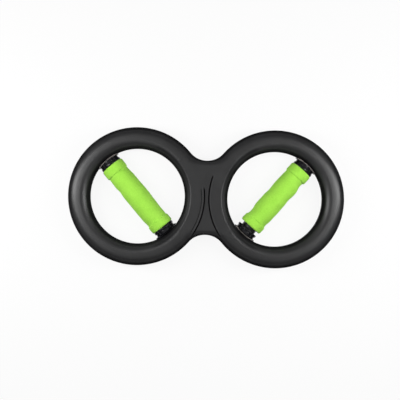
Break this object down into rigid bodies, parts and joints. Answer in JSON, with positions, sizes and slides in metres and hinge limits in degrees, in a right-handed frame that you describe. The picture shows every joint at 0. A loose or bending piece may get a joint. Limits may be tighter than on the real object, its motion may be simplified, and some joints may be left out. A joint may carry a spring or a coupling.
{
  "type": "hand gripper",
  "caption": "Figure-8 frame of two rings side by side, each ring with a foam-sleeved handle across it that turns on rollers inside the ring.",
  "frame": {"origin": "middle of the rear face, on the surface the gripper rests on when it lies flat", "axes": "+X from the left ring to the right ring seen from the front, +Y up across the waist, +Z out of the front face along both handles' turning axes"},
  "size_m": [0.384, 0.192, 0.036],
  "materials": {
    "satin_black_plastic": "satin moulded black",
    "gloss_black_plastic": "polished black",
    "lime_green_foam": "matt closed-cell foam, lime green",
    "black_coated_tube": "black coated steel tube",
    "zinc_screw_steel": "zinc plated",
    "ground_pin_steel": "ground steel",
    "white_nylon": "natural nylon"
  },
  "bodies": {
    "frame": {"front_shell": "satin_black_plastic", "rear_shell": "satin_black_plastic", "shell_screw_1": "zinc_screw_steel", "shell_screw_2": "zinc_screw_steel", "shell_screw_3": "zinc_screw_steel", "shell_screw_4": "zinc_screw_steel", "shell_screw_5": "zinc_screw_steel", "shell_screw_6": "zinc_screw_steel", "shell_screw_7": "zinc_screw_steel", "shell_screw_8": "zinc_screw_steel", "shell_screw_9": "zinc_screw_steel", "shell_screw_10": "zinc_screw_steel"},
    "left_handle": {"left_core_tube": "black_coated_tube", "left_grip": "lime_green_foam", "left_upper_plug": "gloss_black_plastic", "left_lower_plug": "gloss_black_plastic", "left_upper_carriage": "gloss_black_plastic", "left_lower_carriage": "gloss_black_plastic", "left_upper_bar_screw": "zinc_screw_steel", "left_lower_bar_screw": "zinc_screw_steel", "left_upper_roller_pin_1": "ground_pin_steel", "left_upper_roller_pin_2": "ground_pin_steel", "left_lower_roller_pin_1": "ground_pin_steel", "left_lower_roller_pin_2": "ground_pin_steel"},
    "right_handle": {"right_core_tube": "black_coated_tube", "right_grip": "lime_green_foam", "right_upper_plug": "gloss_black_plastic", "right_lower_plug": "gloss_black_plastic", "right_upper_carriage": "gloss_black_plastic", "right_lower_carriage": "gloss_black_plastic", "right_upper_bar_screw": "zinc_screw_steel", "right_lower_bar_screw": "zinc_screw_steel", "right_upper_roller_pin_1": "ground_pin_steel", "right_upper_roller_pin_2": "ground_pin_steel", "right_lower_roller_pin_1": "ground_pin_steel", "right_lower_roller_pin_2": "ground_pin_steel"},
    "left_upper_roller_1": {"left_upper_roller_1": "white_nylon"},
    "left_upper_roller_2": {"left_upper_roller_2": "white_nylon"},
    "left_lower_roller_1": {"left_lower_roller_1": "white_nylon"},
    "left_lower_roller_2": {"left_lower_roller_2": "white_nylon"},
    "right_upper_roller_1": {"right_upper_roller_1": "white_nylon"},
    "right_upper_roller_2": {"right_upper_roller_2": "white_nylon"},
    "right_lower_roller_1": {"right_lower_roller_1": "white_nylon"},
    "right_lower_roller_2": {"right_lower_roller_2": "white_nylon"}
  },
  "joints": [
    {"name": "left_handle_turn", "type": "hinge", "parent": "frame", "child": "left_handle", "pos_m": [-0.096, 0, 0.018], "axis": [0, 0, 1], "continuous": true},
    {"name": "right_handle_turn", "type": "hinge", "parent": "frame", "child": "right_handle", "pos_m": [0.096, 0, 0.018], "axis": [0, 0, 1], "continuous": true},
    {"name": "left_upper_roller_1_spin", "type": "hinge", "parent": "left_handle", "child": "left_upper_roller_1", "pos_m": [-0.15716, 0.04628, 0.018], "axis": [0, 0, 1], "continuous": true},
    {"name": "left_upper_roller_2_spin", "type": "hinge", "parent": "left_handle", "child": "left_upper_roller_2", "pos_m": [-0.13332, 0.06701, 0.018], "axis": [0, 0, 1], "continuous": true},
    {"name": "left_lower_roller_1_spin", "type": "hinge", "parent": "left_handle", "child": "left_lower_roller_1", "pos_m": [-0.05868, -0.06701, 0.018], "axis": [0, 0, 1], "continuous": true},
    {"name": "left_lower_roller_2_spin", "type": "hinge", "parent": "left_handle", "child": "left_lower_roller_2", "pos_m": [-0.03483, -0.04628, 0.018], "axis": [0, 0, 1], "continuous": true},
    {"name": "right_upper_roller_1_spin", "type": "hinge", "parent": "right_handle", "child": "right_upper_roller_1", "pos_m": [0.13332, 0.06701, 0.018], "axis": [0, 0, 1], "continuous": true},
    {"name": "right_upper_roller_2_spin", "type": "hinge", "parent": "right_handle", "child": "right_upper_roller_2", "pos_m": [0.15716, 0.04628, 0.018], "axis": [0, 0, 1], "continuous": true},
    {"name": "right_lower_roller_1_spin", "type": "hinge", "parent": "right_handle", "child": "right_lower_roller_1", "pos_m": [0.03483, -0.04628, 0.018], "axis": [0, 0, 1], "continuous": true},
    {"name": "right_lower_roller_2_spin", "type": "hinge", "parent": "right_handle", "child": "right_lower_roller_2", "pos_m": [0.05868, -0.06701, 0.018], "axis": [0, 0, 1], "continuous": true}
  ],
  "couplings": [
    {"joint": "left_upper_roller_1_spin", "follows": "left_handle_turn", "ratio": -13.833},
    {"joint": "left_upper_roller_2_spin", "follows": "left_handle_turn", "ratio": -13.833},
    {"joint": "left_lower_roller_1_spin", "follows": "left_handle_turn", "ratio": -13.833},
    {"joint": "left_lower_roller_2_spin", "follows": "left_handle_turn", "ratio": -13.833},
    {"joint": "right_upper_roller_1_spin", "follows": "right_handle_turn", "ratio": -13.833},
    {"joint": "right_upper_roller_2_spin", "follows": "right_handle_turn", "ratio": -13.833},
    {"joint": "right_lower_roller_1_spin", "follows": "right_handle_turn", "ratio": -13.833},
    {"joint": "right_lower_roller_2_spin", "follows": "right_handle_turn", "ratio": -13.833}
  ]
}
